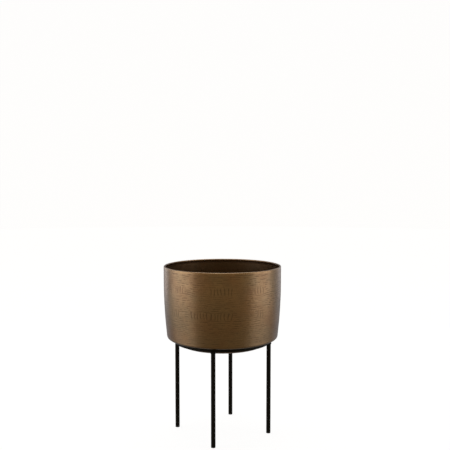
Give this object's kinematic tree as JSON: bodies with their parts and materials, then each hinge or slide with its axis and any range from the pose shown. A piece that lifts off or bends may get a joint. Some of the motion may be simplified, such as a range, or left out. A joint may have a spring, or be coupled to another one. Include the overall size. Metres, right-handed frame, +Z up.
{
  "type": "planter pot on stand",
  "caption": "Round antique brass planter pot with a curled rim and a stepped foot that drops loosely into the hoop of a slim black four-legged stand.",
  "frame": {"origin": "on the floor, under the middle of the pot and stand", "axes": "+Z up along the common axis of pot and hoop; -Y points out of the front leg, +X out of the right leg"},
  "size_m": [0.3, 0.3, 0.4303],
  "materials": {
    "antique_brass": "antiqued brown brass, spun and chased with fine lines, satin",
    "black_powder_coat": "matt black powder coat",
    "rim_wire_steel": "plain drawn wire",
    "black_plastic": "moulded black polyethylene"
  },
  "bodies": {
    "stand": {"stand_hoop": "black_powder_coat", "hoop_weld": "black_powder_coat", "leg_right": "black_powder_coat", "leg_back": "black_powder_coat", "leg_left": "black_powder_coat", "leg_front": "black_powder_coat", "leg_weld_right": "black_powder_coat", "leg_weld_back": "black_powder_coat", "leg_weld_left": "black_powder_coat", "leg_weld_front": "black_powder_coat", "leg_glide_right": "black_plastic", "leg_glide_back": "black_plastic", "leg_glide_left": "black_plastic", "leg_glide_front": "black_plastic"},
    "pot": {"pot_shell": "antique_brass", "rim_wire": "rim_wire_steel"}
  },
  "joints": [
    {"name": "pot_lift", "type": "slide", "parent": "stand", "child": "pot", "axis": [0, 0, 1], "range_m": [0, 0.25]}
  ]
}
